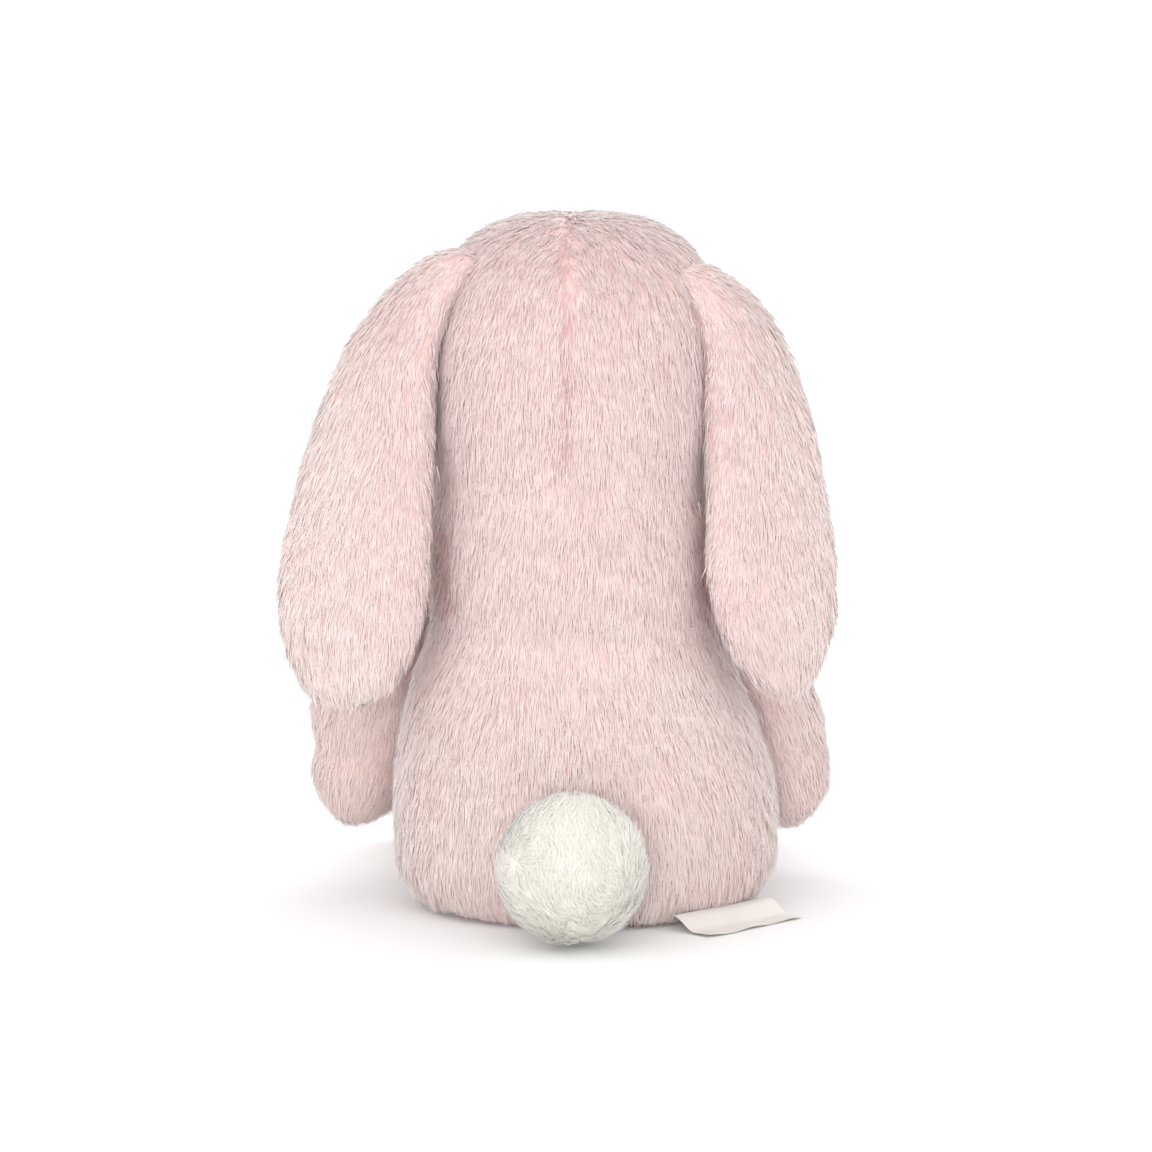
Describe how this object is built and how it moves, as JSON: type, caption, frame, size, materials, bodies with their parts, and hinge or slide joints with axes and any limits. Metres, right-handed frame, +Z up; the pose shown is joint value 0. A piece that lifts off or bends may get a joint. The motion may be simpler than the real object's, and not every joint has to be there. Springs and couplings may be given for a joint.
{
  "type": "plush rabbit",
  "caption": "Sitting plush rabbit with long lop ears, a round contrasting pom tail, sewn-on limbs, bead eyes and a bean-weighted seat.",
  "frame": {"origin": "centre of the flat seat panel's underside, on the seam plane, at floor level", "axes": "+Z up to the crown, -Y the way the rabbit faces, +X the rabbit's left"},
  "size_m": [0.1713, 0.2043, 0.2176],
  "materials": {
    "pink_plush": "medium pile plush, combed downward",
    "pink_ear_lining": "the same plush on the ear's inner face",
    "pink_sole_plush": "short pile plush",
    "cream_plush": "soft cream pile",
    "white_stuffing": "polyester fibre fill",
    "cotton_pouch": "woven cotton bag of plastic pellets",
    "black_bead": "polished",
    "white_washer": "moulded",
    "rose_thread": "embroidery thread",
    "satin_label": "plain woven satin ribbon"
  },
  "bodies": {
    "torso": {"back_panel_left": "pink_plush", "back_panel_right": "pink_plush", "belly_panel": "pink_plush", "seat_panel": "pink_plush", "bead_pouch": "cotton_pouch", "body_stuffing": "white_stuffing"},
    "head": {"head_side_left": "pink_plush", "head_side_right": "pink_plush", "face_gusset": "pink_plush", "head_stuffing": "white_stuffing", "eye_left": "black_bead", "eye_right": "black_bead", "eye_washer_left": "white_washer", "eye_washer_right": "white_washer", "nose_embroidery": "rose_thread", "mouth_stitch": "rose_thread"},
    "ear_left": {"ear_left_outer": "pink_plush", "ear_left_lining": "pink_ear_lining"},
    "ear_right": {"ear_right_outer": "pink_plush", "ear_right_lining": "pink_ear_lining"},
    "arm_left": {"arm_left_outer": "pink_plush", "arm_left_inner": "pink_plush", "arm_left_stuffing": "white_stuffing"},
    "arm_right": {"arm_right_outer": "pink_plush", "arm_right_inner": "pink_plush", "arm_right_stuffing": "white_stuffing"},
    "leg_left": {"leg_left_cover": "pink_plush", "leg_left_sole": "pink_sole_plush", "leg_left_stuffing": "white_stuffing"},
    "leg_right": {"leg_right_cover": "pink_plush", "leg_right_sole": "pink_sole_plush", "leg_right_stuffing": "white_stuffing"},
    "tail": {"tail_cover": "cream_plush", "tail_stuffing": "white_stuffing"},
    "label": {"sewn_label": "satin_label"}
  },
  "joints": [
    {"name": "head_nod", "type": "hinge", "parent": "torso", "child": "head", "pos_m": [0, -0.002, 0.1337], "axis": [1, 0, 0], "range_deg": [-8, 12], "stiffness_Nm_per_rad": 0.4},
    {"name": "ear_left_lift", "type": "hinge", "parent": "head", "child": "ear_left", "pos_m": [0.03973, 0.0095, 0.20459], "axis": [0, -1, 0], "range_deg": [0, 120]},
    {"name": "ear_right_lift", "type": "hinge", "parent": "head", "child": "ear_right", "pos_m": [-0.03973, 0.0095, 0.20459], "axis": [0, 1, 0], "range_deg": [0, 120]},
    {"name": "arm_left_swing", "type": "hinge", "parent": "torso", "child": "arm_left", "pos_m": [0.04934, -0.02734, 0.09767], "axis": [-1, 0, 0], "range_deg": [0, 95], "stiffness_Nm_per_rad": 0.01},
    {"name": "arm_right_swing", "type": "hinge", "parent": "torso", "child": "arm_right", "pos_m": [-0.04934, -0.02734, 0.09767], "axis": [-1, 0, 0], "range_deg": [0, 95], "stiffness_Nm_per_rad": 0.01},
    {"name": "leg_left_raise", "type": "hinge", "parent": "torso", "child": "leg_left", "pos_m": [0.033, -0.0615, 0.0189], "axis": [-1, 0, 0], "range_deg": [0, 30], "stiffness_Nm_per_rad": 0.06},
    {"name": "leg_right_raise", "type": "hinge", "parent": "torso", "child": "leg_right", "pos_m": [-0.033, -0.0615, 0.0189], "axis": [-1, 0, 0], "range_deg": [0, 30], "stiffness_Nm_per_rad": 0.06},
    {"name": "tail_wag", "type": "hinge", "parent": "torso", "child": "tail", "pos_m": [0, 0.04716, 0.0219], "axis": [0, 0, 1], "range_deg": [-12, 12], "stiffness_Nm_per_rad": 0.02},
    {"name": "label_flap", "type": "hinge", "parent": "torso", "child": "label", "pos_m": [-0.04189, 0.02834, 0.0055], "axis": [0.725, 0.6888, 0], "range_deg": [0, 70]}
  ]
}
